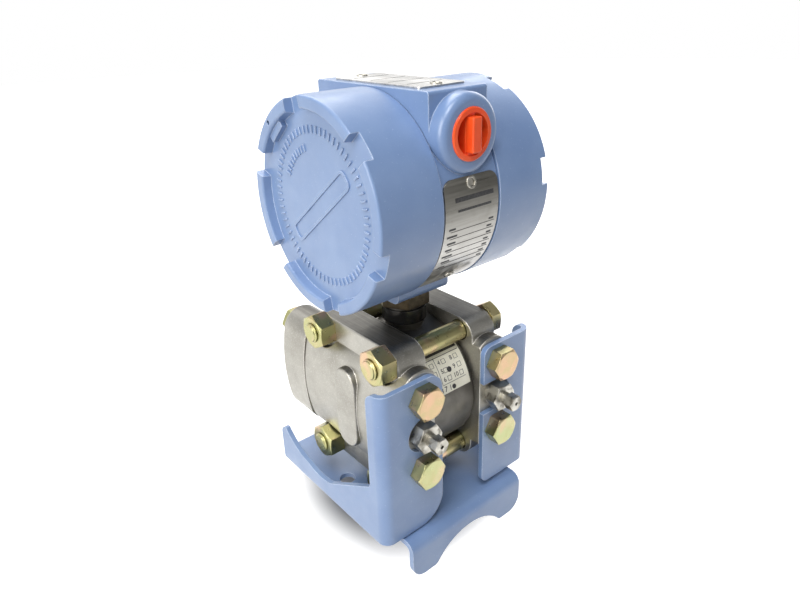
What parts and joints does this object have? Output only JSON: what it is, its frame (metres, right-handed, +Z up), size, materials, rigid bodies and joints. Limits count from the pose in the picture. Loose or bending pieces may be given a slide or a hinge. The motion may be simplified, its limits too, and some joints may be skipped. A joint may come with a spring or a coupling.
{
  "type": "differential pressure transmitter",
  "caption": "Differential pressure transmitter: twin-chamber housing with screw covers on a bolted flange cell, vent valves, process adapters and a bent pipe-mount bracket.",
  "frame": {"origin": "midway between the two U-bolt holes, on the underside of the bracket's base", "axes": "+Z up; X along the electronics housing, through both covers, with +X towards the circuit board side; -Y towards the vent valves and the plugged conduit, +Y towards the process adapters"},
  "size_m": [0.107, 0.1315, 0.2483],
  "materials": {
    "blue_paint": "semi-gloss blue polyurethane paint over die-cast aluminium",
    "blue_sheet": "semi-gloss blue paint over pressed steel sheet",
    "flange_steel": "blasted cast stainless steel, warm grey",
    "cell_steel": "dark weathered steel capsule",
    "zinc_bolts": "yellow zinc plate with an iridescent bloom",
    "vent_steel": "bright machined stainless steel",
    "lock_nut_bronze": "dark bronze-coloured nut",
    "seal_rubber": "black seal rubber",
    "gasket_white": "white gasket plastic",
    "label_cream": "printed cream film",
    "plate_steel": "brushed stainless plate",
    "small_screws": "stainless screws",
    "plug_orange": "orange-red moulded plastic",
    "terminal_black": "black moulded plastic",
    "board_green": "green circuit board",
    "standoff_brass": "turned brass"
  },
  "bodies": {
    "base": {"mounting_bracket": "blue_sheet", "process_flange_left": "flange_steel", "process_flange_right": "flange_steel", "process_adapter_left": "flange_steel", "process_adapter_right": "flange_steel", "adapter_ring_left": "gasket_white", "adapter_ring_right": "gasket_white", "vent_seat_left": "vent_steel", "vent_seat_right": "vent_steel", "sensor_cell": "cell_steel", "cell_label": "label_cream", "flange_gasket_left": "gasket_white", "flange_gasket_right": "gasket_white", "main_bolts": "zinc_bolts", "main_nuts": "zinc_bolts", "bracket_bolts": "zinc_bolts", "adapter_bolts": "zinc_bolts", "neck_seal": "seal_rubber", "neck_lock_nut": "lock_nut_bronze"},
    "housing": {"housing_body": "blue_paint", "nameplate": "plate_steel", "nameplate_screws": "small_screws", "top_plate": "plate_steel", "top_plate_screws": "small_screws", "terminal_block": "terminal_black", "terminal_screws": "small_screws", "circuit_board_inner": "board_green", "circuit_board_outer": "board_green", "board_standoffs": "standoff_brass"},
    "cover_thread_left": {"cover_ring_left": "seal_rubber"},
    "cover_left": {"cover_left": "blue_paint"},
    "cover_thread_right": {"cover_ring_right": "seal_rubber"},
    "cover_right": {"cover_right": "blue_paint"},
    "vent_stem_left": {"vent_stem_left": "vent_steel"},
    "vent_stem_right": {"vent_stem_right": "vent_steel"},
    "conduit_plug": {"conduit_plug": "plug_orange"}
  },
  "joints": [
    {"name": "housing_turn", "type": "hinge", "parent": "base", "child": "housing", "pos_m": [0, -0.014, 0.1208], "axis": [0, 0, 1], "range_deg": [-90, 90]},
    {"name": "cover_left_screw", "type": "slide", "parent": "housing", "child": "cover_thread_left", "axis": [-1, 0, 0], "range_m": [0, 0.012]},
    {"name": "cover_left_turn", "type": "hinge", "parent": "cover_thread_left", "child": "cover_left", "pos_m": [-0.035, -0.014, 0.1748], "axis": [-1, 0, 0], "range_deg": [0, 2160]},
    {"name": "cover_right_screw", "type": "slide", "parent": "housing", "child": "cover_thread_right", "axis": [1, 0, 0], "range_m": [0, 0.012]},
    {"name": "cover_right_turn", "type": "hinge", "parent": "cover_thread_right", "child": "cover_right", "pos_m": [0.035, -0.014, 0.1748], "axis": [1, 0, 0], "range_deg": [0, 2160]},
    {"name": "vent_left_turn", "type": "hinge", "parent": "base", "child": "vent_stem_left", "pos_m": [-0.027, -0.066, 0.0625], "axis": [0, -1, 0], "range_deg": [0, 360]},
    {"name": "vent_right_turn", "type": "hinge", "parent": "base", "child": "vent_stem_right", "pos_m": [0.027, -0.066, 0.0625], "axis": [0, -1, 0], "range_deg": [0, 360]},
    {"name": "plug_pull", "type": "slide", "parent": "housing", "child": "conduit_plug", "axis": [0, -1, 0], "range_m": [0, 0.016]}
  ],
  "couplings": [
    {"joint": "cover_left_screw", "follows": "cover_left_turn", "m_per_rad": 0.00031831},
    {"joint": "cover_right_screw", "follows": "cover_right_turn", "m_per_rad": 0.00031831}
  ]
}
